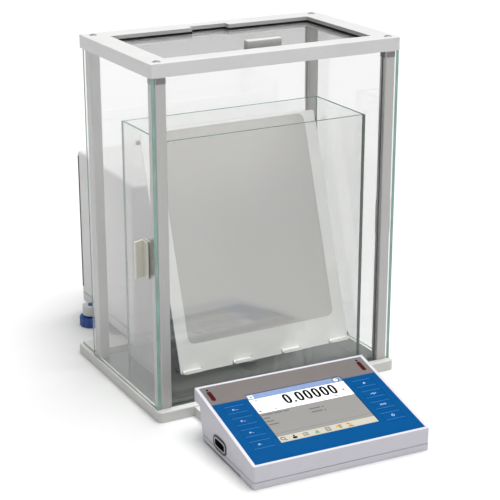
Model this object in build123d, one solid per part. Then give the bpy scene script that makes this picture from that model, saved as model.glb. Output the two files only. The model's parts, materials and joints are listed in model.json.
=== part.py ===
from build123d import *
import math
import os

# Analytical balance for large flat filters. Millimetres, +Z up, +Y away from the operator.
# The origin is the centre of the base tray's underside, on the table.

# ---- Driving dimensions ----

GAP = 0.2                     # ordinary clearance between fitted pieces
RUNNING = 0.05                # radial clearance of pins and studs that turn or lift
CUT = 1.0                     # how far a cutting shape runs past the surface it cuts

# Base tray
BASE_W = 300.0
BASE_D = 224.0
BASE_H = 12.0
BASE_CORNER_R = 6.0
FLOOR_T = 3.0                 # floor plate let into the tray
FLOOR_HALF_W = 141.0
FLOOR_FRONT = -103.0
FLOOR_REAR = 80.0
BASE_EDGE_R = 1.5
POST_CORNER_REACH = 5.0       # how far the floor's corner cuts run out past each post
TRAY_PAD_H = 2.5              # pads that carry the housing above the tray
TRAY_PAD_R = 9.0
TRAY_PAD_X = 70.0
TRAY_PAD_Y = 96.0
BRACKET_X = (-108.0, 40.0)    # tongue under the tray, towards the terminal
BRACKET_FRONT = -150.0
BRACKET_H = 10.5
BRACKET_CORNER_R = 4.0

# Outer draft shield
FRAME_HALF_W = 149.0
FRAME_FRONT = -105.0
FRAME_REAR = 76.0
FRAME_BOTTOM = 372.0
FRAME_TOP = 386.5
OPENING_HALF_W = 123.5
OPENING_FRONT = -84.5
OPENING_REAR = 48.5
GRIP_X = -2.0                 # middle of the top grip and of the notch it docks in
NOTCH_W = 46.0
NOTCH_D = 9.0
FRAME_CORNER_R = 3.0
FRAME_EDGE_R = 1.0
DOOR_GROOVE_D = 4.0           # groove in the frame that guides a side door's upper edge
POST_IN = 131.0
POST_OUT = 143.0
POST_D = 13.0
POST_EDGE_R = 1.2
FRONT_POST_Y = -104.0         # front face of the front posts
REAR_POST_Y = 55.0            # front face of the rear posts
PANE_T = 3.6                  # outer glass
PANE_SEAT = 3.0               # how deep a fixed pane sits in its posts
PANE_SETBACK = 5.0            # from a post's front face to its fixed pane
SCREW_X = 137.5
SCREW_SETBACK = 1.0           # how far a frame screw lies behind its post's middle
SCREW_R = 2.0
SCREW_L = 15.0
SCREW_BORE_D = 16.0
SCREW_HEAD_R = 4.2
SCREW_DOME_R = 9.2
SCREW_DOME_H = 1.2
SCREW_SOCKET_R = 1.6
SCREW_SOCKET_D = 1.5

# Sliding side doors
DOOR_IN = 144.0
DOOR_FRONT = -104.0
DOOR_REAR = 69.0
DOOR_RISE = 3.6               # how far a door's pane runs up into the frame
TRACK_D = 3.0
GRIP_BOTTOM = 157.0
GRIP_H = 40.0
GRIP_OUT = 12.4               # how far the fin stands out of the pane
FIN_ROOT = -78.8              # front of the fin where it meets the pane
FIN_SWEEP = 5.0               # how far its outer end lies in front of its root
FIN_ROOT_T = 4.3
FIN_TIP_T = 3.5
FIN_TIP_R = 1.2
GRIP_PAD_Y = (-89.5, -74.5)   # flat pads on both faces of the pane
GRIP_PAD_OUT_T = 1.6
GRIP_PAD_IN_T = 2.5
GRIP_PAD_R = 1.0
GRIP_NECK_Y = -81.5
GRIP_NECK_R = 3.0

# Sliding top door
TOP_GLASS_Z = 376.4
TOP_GLASS_HALF_W = 128.0
TOP_GLASS_FRONT = -89.0
TOP_GLASS_REAR = 60.0
TOP_SLOT = (376.2, 382.5)     # the slot in the frame, with the gasket in its upper part
TOP_SLOT_HALF_W = 128.5
GASKET_W = 2.5
GASKET_H = 2.3
GASKET_GAP = 0.1
TOP_GRIP = (42.0, 8.0, 13.0)
TOP_GRIP_FRONT = -75.0
TOP_GRIP_R = 1.5

# Inner glass shield
SHIELD_X = -4.0
SHIELD_W = 243.0
SHIELD_FRONT = -86.0
SHIELD_REAR = 15.5
SHIELD_TOP = 300.7
SHIELD_T = 3.0

# Filter plate and its carrier
PLATE_W = 214.0
PLATE_L = 267.0
PLATE_T = 1.5
PLATE_CORNER_R = 3.0
PLATE_TILT = 17.9             # degrees back from vertical
PLATE_FOOT = (0.0, -76.2, 34.0)
MESH_W = 185.0
MESH_L = 234.0
MESH_FOOT = 31.0
MESH_T = 0.6
MESH_CORNER_R = 8.0
TAB_COUNT = 4
TAB_W = 22.0
TAB_RELIEF = 1.0              # slit each side of a tab
TAB_PITCH = 62.4
TAB_BEND_R = 3.0
TAB_BEND_TOP = 5.0            # how far up the plate the bend starts
TAB_REACH = 1.5
TAB_LIP = 3.5
ROD_R = 2.5
ROD_HALF_L = 111.0
ROD_END_R = 1.2
ROD_FIT = 0.03
ROD_OFFSET = 4.3
LOWER_ROD = 6.0
UPPER_ROD = 256.0
SPINE_W = 14.0
SPINE_T = 6.4
SPINE_PAST = 4.5              # how far it runs past the upper rod
SPINE_GAP = 0.1
BRACE_W = 10.0
BRACE_RISE = 9.0              # from the hub's base to the brace
HUB_Y = -35.0
HUB_R = 9.0
HUB_BASE = 25.3
HUB_TOP = 41.0
SPINDLE_R = 4.0
SPINDLE_TOP = 35.0

# Weighing arm
ARM_W = 18.0
ARM_Z = (17.0, 25.0)
ARM_FRONT = -47.0
ARM_REAR = 106.0
ARM_TIP_R = 6.0
ARM_RISER_L = 8.0
ARM_RISER_TOP = 64.0
ARM_CLEARANCE = 2.0
ARM_HOLE_W = 32.0
ARM_HOLE_TOP = 31.0

# Housing behind the shield
HOUSING_HALF_W = 92.5
HOUSING_FRONT = 66.0
HOUSING_REAR = 236.0
HOUSING_BOTTOM = BASE_H + TRAY_PAD_H
HOUSING_SEAM = 26.0
HOUSING_TOP = 211.0
HOUSING_WALL = 2.5
HOUSING_EDGE_R = 4.8
HOUSING_ROOF_T = 4.0
HOUSING_CORNER_R = 5.0
SEAM_GAP = 1.0
PANEL_FRONT = 229.0           # rear panel, set into the housing's back
PANEL_Z = (33.0, 205.0)
PANEL_T = 6.2
PANEL_INSET = 0.6
PANEL_EDGE_R = 1.0
PANEL_SCREW_X = (-82.0, 82.0)
PANEL_SCREW_Z = (42.0, 196.0)
PANEL_SCREW_R = 1.5
PANEL_SCREW_HEAD_R = 3.0
PANEL_SCREW_HEAD_H = 0.5
PORTS_Z = 60.0                # height of the sockets on the rear panel
POWER_X = -62.0
POWER_R = 6.5
POWER_D = 9.0
POWER_MOUTH_R = 4.0
POWER_PIN_R = 1.2
POWER_PROUD = 0.6
SERIAL_X = (-22.0, 18.0)
SERIAL_W = 18.6
SERIAL_H = 10.6
SERIAL_D = 15.0
SERIAL_PROUD = 0.4
SOCKET_SHELL_T = 1.2
SOCKET_LEAN = 0.18            # the D's lean, corner radius, pin rows and pin pitch, as shares
SOCKET_ROUND = 0.2            # of its height or width
SOCKET_PIN_ROWS = ((5, 0.13), (4, -0.13))
SOCKET_PIN_PITCH = 0.145
SOCKET_MOUTH = 0.6            # depths as shares of the whole depth
SOCKET_PIN_MIDDLE = 0.5
SOCKET_PIN_L = 0.6
SOCKET_PIN_R = 0.5
VENT_ROWS = 7
VENT_BOTTOM = 120.0
VENT_PITCH = 8.0
VENT_W = 110.0
VENT_H = 3.0

# Weighing cell and internal adjustment weight
CELL_X = 30.0
CELL_Y = (110.0, 180.0)
CELL_Z = (HOUSING_BOTTOM + HOUSING_WALL, 66.0)
CELL_SLOT_Z = (CELL_Z[0] + 6.0, CELL_Z[1] - 8.0)
CELL_SLOT_H = 2.0
CELL_SLOT_Y = (CELL_Y[0] + 8.0, CELL_Y[1] - 12.0)
CELL_BORE_Y = (CELL_Y[0] + 10.0, CELL_Y[1] - 14.0)
CELL_BORE_R = 5.0
PIVOT_HALF_W = 5.0
PIVOT_Y = (140.0, 148.0)
MAGNET_Y = 200.0
MAGNET_R = 18.0
MAGNET_TOP = 62.0
MAGNET_SLOT_R = (10.0, 15.5)
MAGNET_SLOT_BOTTOM = 46.0
COIL_R = 14.0
COIL_T = 2.5
COIL_Z = (54.0, 70.0)
LEVER_Z = (74.0, 80.0)
LEVER_HALF_W = 6.0
LEVER_HANGER_L = 4.0
LEVER_PAST = 6.0              # how far it runs past the coil's middle
WEIGHT_X = -62.0
WEIGHT_Y = 118.0
WEIGHT_L = 34.0
WEIGHT_R = 9.0
WEIGHT_EDGE_R = 1.0
DRIVE_X = -62.0
DRIVE_Y = 150.0
DRIVE_R = 4.0
DRIVE_Z = (CELL_Z[0] + 1.0, 74.0)
DRIVE_COLLAR_R = 7.0
DRIVE_COLLAR_H = 3.0
LIFTER_Z = (38.0, 44.0)
FORK_W = 44.0
FORK_D = 20.0
HORN_X = 19.5                 # the fork's horns, from its middle
HORN_T = 5.0
HORN_H = 12.0
LIFTER_ARM_W = 16.0
NUT_R = 9.0
NUT_H = 6.0
MOTOR_R = 13.0
MOTOR_Z = (75.0, 108.0)
MOTOR_PLATE_HALF_W = 15.0
MOTOR_PLATE_REACH = 22.0
MOTOR_PLATE_Z = (74.5, 77.0)
MOTOR_LEG_T = 3.0

# Main board on the rear panel
BOARD_X = (-78.0, 78.0)
BOARD_Y = (210.0, 211.6)
BOARD_Z = (112.0, 192.0)
BOARD_CHIPS = (((-60.0, -30.0), 6.0, (130.0, 150.0)), ((0.0, 22.0), 4.0, (150.0, 172.0)))
CAPACITOR_X = (40.0, 52.0, 64.0)
CAPACITOR_Z = 140.0
CAPACITOR_R = 4.5
CAPACITOR_L = 12.0
BOARD_POST_X = (-70.0, 70.0)
BOARD_POST_W = 8.0
BOARD_POST_Z = (184.0, 190.0)

# Levelling feet
FOOT_X = 102.0
FOOT_Y = 184.0
FOOT_R = 15.0
FOOT_H = 12.5
FOOT_EDGE = 1.2
FOOT_FLUTES = 12
FLUTE_R = 3.2
FLUTE_OUT = 2.2               # a flute's centre, from the knob's rim
STUD_R = 4.0
STUD_PROUD = 1.5              # above the ear
EAR_R = 11.0

# Terminal, in its own frame: X along its width, Y towards the balance, Z up
TERMINAL_PLACE = Location((-133.5, -288.4, 0), (0, 0, -3.0))
TERMINAL_W = 200.0
TERMINAL_D = 142.0
TERMINAL_FRONT_H = 25.0
TERMINAL_REAR_H = 52.0
TERMINAL_SEAM = 8.0
SEAM_GROOVE_H = 0.8
SEAM_GROOVE_D = 0.8
TERMINAL_LIP = 15.0           # overhang at the rear
TERMINAL_LIP_Z = 37.0
TERMINAL_REAR_LEAN = 9.0      # how far the rear wall leans in towards its foot
TERMINAL_WALL = 2.5
TERMINAL_UNDERSIDE = 2.5
TERMINAL_FRONT_BAR = 29.0     # depth of the bar that the front stands on
TERMINAL_DECK = 3.0
TERMINAL_EDGE_R = 2.5
TERMINAL_FLOOR_T = 2.0
TERMINAL_FOOT_X = (22.0, 178.0)
TERMINAL_FOOT_BACK = 14.0     # from the rear wall's foot
TERMINAL_FOOT_R = 7.0
DECK_CUT = (-10.0, 5.0)       # depth limits of a cut through the deck
PANEL_TILT = math.degrees(math.atan2(TERMINAL_REAR_H - TERMINAL_FRONT_H, TERMINAL_D))
DECK_FRAME = Location((0, 0, TERMINAL_FRONT_H), (PANEL_TILT, 0, 0))
SHEET_T = 0.8
SHEET_U = (3.5, 196.5)
SHEET_V = (3.0, 139.5)
STRIP_V = 107.5               # where the keypad sheet ends and the sensor strip begins
SCREEN_U = (43.5, 156.5)
SCREEN_V = (27.0, 113.5)
SCREEN_SUNK = 0.3
MODULE_MARGIN = 2.0
MODULE_T = 5.0
TERMINAL_BOARD = ((14.0, 186.0), (24.0, 116.0), (-9.6, -8.1))
SWITCH_W = 6.0
KEY_U = (25.0, 175.0)
KEY_V = (32.0, 52.5, 73.0, 93.5)
KEY_W = 24.0
KEY_H = 17.0
KEY_TRAVEL = 0.4
KEY_SINK = 0.8                # free depth under a key cap
STEM_CLEARANCE = 0.3
KEY_STEM_R = 2.0
KEY_STEM_L = 6.0
SENSOR_U = (10.5, 188.5)
SENSOR_V = 123.0
SENSOR_W = 4.6
SENSOR_L = 17.0
SENSOR_SUNK = 0.2
PORT_Y = 77.0
PORT_Z = 14.3
PORT_W = 26.0
PORT_H = 11.0
PORT_D = 12.0
PORT_PROUD = 0.6


# ---- Helpers ----

def block(x, y, z):
    """A box given by its low and high limits on each axis."""
    centre = [(low + high) / 2 for low, high in (x, y, z)]
    size = [high - low for low, high in (x, y, z)]
    return Pos(*centre) * Box(*size)


def span(middle, width):
    """Limits of a width about its middle."""
    return (middle - width / 2, middle + width / 2)


def past(limits):
    """Limits run on past both surfaces, for a cut that goes right through."""
    return (limits[0] - CUT, limits[1] + CUT)


def rod(x, y, z, radius):
    """A vertical cylinder between two heights."""
    return Pos(x, y, (z[0] + z[1]) / 2) * Cylinder(radius, z[1] - z[0])


def cross_rod(x, y, z, radius):
    """A cylinder along X between two limits."""
    turned = Rot(0, 90, 0) * Cylinder(radius, x[1] - x[0])
    return Pos((x[0] + x[1]) / 2, y, z) * turned


def long_rod(x, y, z, radius):
    """A cylinder along Y between two limits."""
    turned = Rot(90, 0, 0) * Cylinder(radius, y[1] - y[0])
    return Pos(x, (y[0] + y[1]) / 2, z) * turned


def rounded_block(x, y, z, radius):
    """A box with its four vertical edges rounded."""
    solid = block(x, y, z)
    return fillet(solid.edges().filter_by(Axis.Z), radius)


def side_profile(points, x):
    """A solid with the given outline in Y and Z, between two limits along X."""
    outline = make_face(Polyline(*[(0, y, z) for y, z in points], close=True))
    return Pos(x[0], 0, 0) * extrude(outline, amount=x[1] - x[0], dir=(1, 0, 0))


def both_sides(shape):
    """The left shape and its mirror image on the right."""
    return shape, mirror(shape, about=Plane.YZ)


def on_plate(shape):
    """Put a shape drawn in the plate's frame (X across, Y up the plate, Z out of its front) in place."""
    return Location(PLATE_FOOT, (90 - PLATE_TILT, 0, 0)) * shape


def on_deck(shape):
    """Put a shape drawn on the terminal's sloping deck in place."""
    return TERMINAL_PLACE * DECK_FRAME * shape


# ---- Base ----

def post_places():
    """Low X, front Y and side of the four posts."""
    for side in (-1, 1):
        low_x = POST_IN if side > 0 else -POST_OUT
        for front in (FRONT_POST_Y, REAR_POST_Y):
            yield low_x, front, side


def floor_outline(grow, z):
    """The floor plate's block with its corners cut clear of the posts."""
    half = FLOOR_HALF_W + grow
    plate = block((-half, half), (FLOOR_FRONT - grow, FLOOR_REAR + grow), z)
    margin = 2 * GAP - grow
    for low_x, front, side in post_places():
        reach = POST_CORNER_REACH
        x = (low_x - margin, low_x + POST_OUT - POST_IN + reach)
        if side < 0:
            x = (low_x - reach, low_x + POST_OUT - POST_IN + margin)
        y = (front - reach if front < 0 else front - margin, front + POST_D + margin)
        plate -= block(x, y, past(z))
    return plate


def base_tray():
    tray = rounded_block((-BASE_W / 2, BASE_W / 2), (-BASE_D / 2, BASE_D / 2), (0, BASE_H), BASE_CORNER_R)
    tray = fillet(tray.edges().group_by(Axis.Z)[-1], BASE_EDGE_R)
    tray -= floor_outline(GAP, (BASE_H - FLOOR_T, BASE_H + CUT))
    for side in (-1, 1):
        track = sorted((side * (DOOR_IN - 2 * GAP), side * (DOOR_IN + PANE_T + 2 * GAP)))
        tray -= block(track, (DOOR_FRONT - 2 * GAP, BASE_D), (BASE_H - TRACK_D, BASE_H + CUT))
    for x in (-TRAY_PAD_X, TRAY_PAD_X):
        tray += rod(x, TRAY_PAD_Y, (BASE_H - CUT, HOUSING_BOTTOM), TRAY_PAD_R)
    return tray


def floor_plate():
    return floor_outline(0, (BASE_H - FLOOR_T, BASE_H))


def terminal_bracket():
    tongue = block(BRACKET_X, (BRACKET_FRONT, -BASE_D / 2), (0, BRACKET_H))
    return fillet(tongue.edges().filter_by(Axis.Z).group_by(Axis.Y)[0], BRACKET_CORNER_R)


# ---- Outer draft shield ----

def corner_post(low_x, front, side):
    post = block((low_x, low_x + POST_OUT - POST_IN), (front, front + POST_D), (BASE_H, FRAME_BOTTOM))
    post = fillet(post.edges().filter_by(Axis.Z), POST_EDGE_R)
    inner = side * POST_IN
    seat = sorted((inner - side, inner + side * (PANE_SEAT + GAP)))
    middle = fixed_pane_front(front)
    post -= block(seat, (middle - GAP, middle + PANE_T + GAP), past((BASE_H, FRAME_BOTTOM)))
    bore = (FRAME_BOTTOM - SCREW_BORE_D, FRAME_BOTTOM + CUT)
    return post - rod(side * SCREW_X, screw_y(front), bore, SCREW_R + RUNNING)


def fixed_pane_front(post_front):
    """Front face of the fixed pane held by the posts that start at post_front."""
    return post_front + PANE_SETBACK


def screw_y(post_front):
    return post_front + POST_D / 2 + SCREW_SETBACK


def top_opening():
    """Outline of the frame's opening, with the notch for the top grip."""
    depth = OPENING_REAR - OPENING_FRONT
    opening = Pos(0, OPENING_FRONT + depth / 2) * Rectangle(2 * OPENING_HALF_W, depth)
    notch = Pos(GRIP_X, OPENING_REAR) * Rectangle(NOTCH_W, 2 * NOTCH_D)
    return opening + notch


def top_frame():
    x, y = (-FRAME_HALF_W, FRAME_HALF_W), (FRAME_FRONT, FRAME_REAR)
    frame = rounded_block(x, y, (FRAME_BOTTOM, FRAME_TOP), FRAME_CORNER_R)
    frame = fillet(frame.edges().group_by(Axis.Z)[-1], FRAME_EDGE_R)
    hole = past((FRAME_BOTTOM, FRAME_TOP))
    frame -= Pos(0, 0, hole[0]) * extrude(top_opening(), hole[1] - hole[0])
    slot_x = (-TOP_SLOT_HALF_W, TOP_SLOT_HALF_W)
    frame -= block(slot_x, (TOP_GLASS_FRONT - 2 * GAP, FRAME_REAR + CUT), TOP_SLOT)
    for side in (-1, 1):
        track = sorted((side * (DOOR_IN - 2 * GAP), side * (DOOR_IN + PANE_T + 2 * GAP)))
        groove = (FRAME_BOTTOM - CUT, FRAME_BOTTOM + DOOR_GROOVE_D)
        frame -= block(track, (DOOR_FRONT - 2 * GAP, FRAME_REAR + CUT), groove)
    for _, front, side in post_places():
        frame -= rod(side * SCREW_X, screw_y(front), hole, SCREW_R + RUNNING)
    return frame


def top_gasket():
    ring = offset(top_opening(), GASKET_W, kind=Kind.INTERSECTION) - top_opening()
    return Pos(0, 0, TOP_GLASS_Z + PANE_T + GASKET_GAP) * extrude(ring, GASKET_H)


def frame_screws():
    """Four low domed screws that hold the frame on the posts."""
    screws = []
    for _, front, side in post_places():
        x, y = side * SCREW_X, screw_y(front)
        shank = rod(x, y, (FRAME_BOTTOM - SCREW_L, FRAME_TOP), SCREW_R)
        top = FRAME_TOP + SCREW_DOME_H
        ball = Pos(x, y, top - SCREW_DOME_R) * Sphere(SCREW_DOME_R)
        head = ball & rod(x, y, (FRAME_TOP, top + CUT), SCREW_HEAD_R)
        hexagon = RegularPolygon(SCREW_SOCKET_R, 6)
        socket = Pos(x, y, top) * extrude(hexagon, SCREW_SOCKET_D, both=True)
        screws.append(shank + head - socket)
    return Compound(children=screws)


def fixed_pane(post_front):
    y = fixed_pane_front(post_front)
    half = POST_IN + PANE_SEAT - GAP
    return block((-half, half), (y, y + PANE_T), (BASE_H, FRAME_BOTTOM))


def rear_glass():
    notch = block(span(0, ARM_HOLE_W), (0, BASE_D), (0, ARM_HOLE_TOP))
    return fixed_pane(REAR_POST_Y) - notch


def door_glass():
    """The left door's pane, with the hole that its grip passes through."""
    pane = block(
        (-DOOR_IN - PANE_T, -DOOR_IN), (DOOR_FRONT, DOOR_REAR),
        (BASE_H - TRACK_D + 2 * GAP, FRAME_BOTTOM + DOOR_RISE)
    )
    return pane - grip_neck(GRIP_NECK_R + GAP / 2)


def grip_neck(radius):
    """A cylinder through the left door's pane where the two sides of its grip join."""
    middle = GRIP_BOTTOM + GRIP_H / 2
    return cross_rod(past((-DOOR_IN - PANE_T, -DOOR_IN)), GRIP_NECK_Y, middle, radius)


def door_handle():
    """The left door's grip: a swept fin on a pad outside, a pad inside, joined through the glass."""
    face = -DOOR_IN - PANE_T
    tip = face - GRIP_OUT
    z = (GRIP_BOTTOM, GRIP_BOTTOM + GRIP_H)
    corners = [
        (face, FIN_ROOT), (tip, FIN_ROOT - FIN_SWEEP),
        (tip, FIN_ROOT - FIN_SWEEP + FIN_TIP_T), (face, FIN_ROOT + FIN_ROOT_T)
    ]
    fin = Pos(0, 0, z[0]) * extrude(make_face(Polyline(*corners, close=True)), GRIP_H)
    fin = fillet(fin.edges().filter_by(Axis.Z).group_by(Axis.X)[0], FIN_TIP_R)
    outer = block((face - GRIP_PAD_OUT_T, face), GRIP_PAD_Y, z)
    outer = fillet(outer.edges().group_by(Axis.X)[0], GRIP_PAD_R)
    inner = block((-DOOR_IN, -DOOR_IN + GRIP_PAD_IN_T), GRIP_PAD_Y, z)
    inner = fillet(inner.edges().group_by(Axis.X)[-1], GRIP_PAD_R)
    return outer + fin + inner + grip_neck(GRIP_NECK_R)


def top_door_glass():
    x = (-TOP_GLASS_HALF_W, TOP_GLASS_HALF_W)
    return block(x, (TOP_GLASS_FRONT, TOP_GLASS_REAR), (TOP_GLASS_Z, TOP_GLASS_Z + PANE_T))


def top_door_handle():
    width, depth, height = TOP_GRIP
    base = TOP_GLASS_Z + PANE_T
    grip = block(span(GRIP_X, width), (TOP_GRIP_FRONT, TOP_GRIP_FRONT + depth), (base, base + height))
    return fillet(grip.edges().group_by(Axis.Z)[-1] + grip.edges().filter_by(Axis.Z), TOP_GRIP_R)


# ---- Inner glass shield ----

def shield_pane(x, y):
    return block(x, y, (BASE_H, SHIELD_TOP))


def shield_panes():
    left, right = span(SHIELD_X, SHIELD_W)
    inner_y = (SHIELD_FRONT + SHIELD_T, SHIELD_REAR - SHIELD_T)
    arm_notch = block(span(0, ARM_HOLE_W), (0, BASE_D), (0, ARM_HOLE_TOP))
    return {
        "shield_front_pane": shield_pane((left, right), (SHIELD_FRONT, inner_y[0])),
        "shield_rear_pane": shield_pane((left, right), (inner_y[1], SHIELD_REAR)) - arm_notch,
        "shield_left_pane": shield_pane((left, left + SHIELD_T), inner_y),
        "shield_right_pane": shield_pane((right - SHIELD_T, right), inner_y),
    }


# ---- Filter plate and carrier ----

def plate_tab(x):
    """One bottom tab: the sheet bends forward and turns up in a lip."""
    outer_r = TAB_BEND_R + PLATE_T
    width = span(x, TAB_W)
    quarter = cross_rod(width, 0, 0, outer_r) - cross_rod(past(width), 0, 0, TAB_BEND_R)
    quarter &= block(width, (-outer_r, 0), (-outer_r, 0))
    bend = Pos(0, TAB_BEND_TOP, TAB_BEND_R) * quarter
    low = TAB_BEND_TOP - outer_r
    ledge_z = (TAB_BEND_R, TAB_BEND_R + TAB_REACH + PLATE_T)
    ledge = block(width, (low, low + PLATE_T), ledge_z)
    lip = block(width, (low, low + TAB_LIP), (ledge_z[1] - PLATE_T, ledge_z[1]))
    return bend + ledge + lip


def mesh_outline(width, length):
    return RectangleRounded(width, length, MESH_CORNER_R)


def filter_plate():
    plate = rounded_block(span(0, PLATE_W), (0, PLATE_L), (-PLATE_T, 0), PLATE_CORNER_R)
    recess = extrude(mesh_outline(MESH_W, MESH_L), MESH_T + CUT)
    plate -= Pos(0, MESH_FOOT + MESH_L / 2, -MESH_T) * recess
    for index in range(TAB_COUNT):
        x = (index - (TAB_COUNT - 1) / 2) * TAB_PITCH
        plate -= block(span(x, TAB_W + 2 * TAB_RELIEF), (-CUT, TAB_BEND_TOP), past((-PLATE_T, 0)))
        plate += plate_tab(x)
    return on_plate(plate)


def filter_mesh():
    panel = extrude(mesh_outline(MESH_W - 2 * GAP, MESH_L - 2 * GAP), MESH_T)
    return on_plate(Pos(0, MESH_FOOT + MESH_L / 2, -MESH_T) * panel)


def plate_point(up, behind):
    """Y and Z of a point up the plate and behind its front face."""
    tilt = math.radians(PLATE_TILT)
    y = PLATE_FOOT[1] + up * math.sin(tilt) + behind * math.cos(tilt)
    return y, PLATE_FOOT[2] + up * math.cos(tilt) - behind * math.sin(tilt)


def carrier_rods():
    rods = []
    for up in (LOWER_ROD, UPPER_ROD):
        y, z = plate_point(up, ROD_OFFSET)
        bar = cross_rod((-ROD_HALF_L, ROD_HALF_L), y, z, ROD_R)
        rods.append(fillet(bar.edges(), ROD_END_R))
    return Compound(children=rods)


def carrier_frame():
    """Spine behind the plate, an upright under its middle, and the hub on the spindle."""
    front = -PLATE_T - SPINE_GAP
    spine = block(span(0, SPINE_W), (0, UPPER_ROD + SPINE_PAST), (front - SPINE_T, front))
    spine = on_plate(spine)
    middle = PLATE_T + SPINE_T / 2
    slope = math.tan(math.radians(PLATE_TILT))
    foot_y, foot_z = plate_point(0, middle)
    near, far = span(HUB_Y, BRACE_W)
    base = HUB_BASE + BRACE_RISE
    upright = [(near, base), (far, base)]
    upright += [(y, foot_z + (y - foot_y) / slope) for y in (far, near)]
    brace = block(span(0, BRACE_W), (foot_y, HUB_Y), (base, HUB_TOP))
    frame = spine + side_profile(upright, span(0, BRACE_W)) + brace
    frame += rod(0, HUB_Y, (HUB_BASE, HUB_TOP), HUB_R)
    for up in (LOWER_ROD, UPPER_ROD):
        y, z = plate_point(up, ROD_OFFSET)
        frame -= cross_rod(past(span(0, SPINE_W)), y, z, ROD_R + ROD_FIT)
    return frame - rod(0, HUB_Y, (HUB_BASE - CUT, SPINDLE_TOP), SPINDLE_R + RUNNING)


def weighing_arm():
    """Arm from the load cell under the panes to the spindle that the hub sits on."""
    arm = block(span(0, ARM_W), (ARM_FRONT, ARM_REAR), ARM_Z)
    arm = fillet(arm.edges().filter_by(Axis.Z).group_by(Axis.Y)[0], ARM_TIP_R)
    arm += block(span(0, ARM_W), (ARM_REAR - ARM_RISER_L, ARM_REAR), (ARM_Z[0], ARM_RISER_TOP))
    return arm + rod(0, HUB_Y, (ARM_Z[0], SPINDLE_TOP), SPINDLE_R)


# ---- Housing ----

def housing_ears(z, radius):
    left = rod(-FOOT_X, FOOT_Y, z, radius)
    left += block((-FOOT_X, -HOUSING_HALF_W), span(FOOT_Y, 2 * radius), z)
    left, right = both_sides(left)
    return left + right


def chassis():
    """Lower tray of the housing, with an ear for each levelling foot."""
    x = (-HOUSING_HALF_W, HOUSING_HALF_W)
    z = (HOUSING_BOTTOM, HOUSING_SEAM)
    tray = rounded_block(x, (HOUSING_FRONT, HOUSING_REAR), z, HOUSING_CORNER_R)
    tray += housing_ears(z, EAR_R)
    wall = HOUSING_WALL
    inside = (HOUSING_FRONT + wall, HOUSING_REAR - wall)
    tray -= block((x[0] + wall, x[1] - wall), inside, (HOUSING_BOTTOM + wall, HOUSING_SEAM + CUT))
    bay_x = span(0, ARM_HOLE_W)
    tray -= block(bay_x, past((HOUSING_FRONT, inside[0])), past(z))
    tray -= block(bay_x, (HOUSING_FRONT - CUT, ARM_REAR + ARM_CLEARANCE), past((HOUSING_BOTTOM, ARM_Z[0])))
    for side in (-1, 1):
        tray -= rod(side * FOOT_X, FOOT_Y, past(z), STUD_R + RUNNING)
    return tray


def housing_cover():
    """Upper shell of the housing, open at the bottom and cut out for the rear panel."""
    x = (-HOUSING_HALF_W, HOUSING_HALF_W)
    y = (HOUSING_FRONT, HOUSING_REAR)
    z = (HOUSING_SEAM + SEAM_GAP, HOUSING_TOP)
    wall = HOUSING_WALL
    shell = rounded_block(x, y, z, HOUSING_CORNER_R)
    shell = fillet(shell.edges().group_by(Axis.Z)[-1], HOUSING_EDGE_R)
    inside = (z[0] - CUT, z[1] - HOUSING_ROOF_T)
    shell -= block((x[0] + wall, x[1] - wall), (y[0] + wall, y[1] - wall), inside)
    shell -= block(past(x), (PANEL_FRONT, y[1] + CUT), PANEL_Z)
    shell -= block(span(0, ARM_HOLE_W), past((y[0], y[0] + wall)), (0, ARM_HOLE_TOP))
    return shell


def rear_panel():
    y = (PANEL_FRONT + GAP, PANEL_FRONT + GAP + PANEL_T)
    half = HOUSING_HALF_W - PANEL_INSET
    panel = block((-half, half), y, (PANEL_Z[0] + GAP, PANEL_Z[1] - GAP))
    panel = fillet(panel.edges().group_by(Axis.Y)[-1], PANEL_EDGE_R)
    through = past(y)
    panel -= long_rod(POWER_X, through, PORTS_Z, POWER_R + GAP)
    for x in SERIAL_X:
        panel -= block(span(x, SERIAL_W + 2 * GAP), through, span(PORTS_Z, SERIAL_H + 2 * GAP))
    for row in range(VENT_ROWS):
        panel -= block(span(0, VENT_W), through, span(VENT_BOTTOM + VENT_PITCH * row, VENT_H))
    for x, z in panel_screw_places():
        panel -= long_rod(x, through, z, PANEL_SCREW_R + GAP / 2)
    return panel


def panel_screw_places():
    return [(x, z) for x in PANEL_SCREW_X for z in PANEL_SCREW_Z]


def rear_panel_screws():
    screws = []
    back = PANEL_FRONT + GAP + PANEL_T
    for x, z in panel_screw_places():
        shank = long_rod(x, (PANEL_FRONT + 2 * GAP, back), z, PANEL_SCREW_R)
        head = long_rod(x, (back, back + PANEL_SCREW_HEAD_H), z, PANEL_SCREW_HEAD_R)
        screws.append(shank + head)
    return Compound(children=screws)


def power_inlet():
    y = (PANEL_FRONT - POWER_D, PANEL_FRONT + GAP + PANEL_T + POWER_PROUD)
    socket = long_rod(POWER_X, y, PORTS_Z, POWER_R)
    socket -= long_rod(POWER_X, (y[1] - POWER_D, y[1] + CUT), PORTS_Z, POWER_MOUTH_R)
    return socket + long_rod(POWER_X, (y[0], y[1] - CUT), PORTS_Z, POWER_PIN_R)


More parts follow.
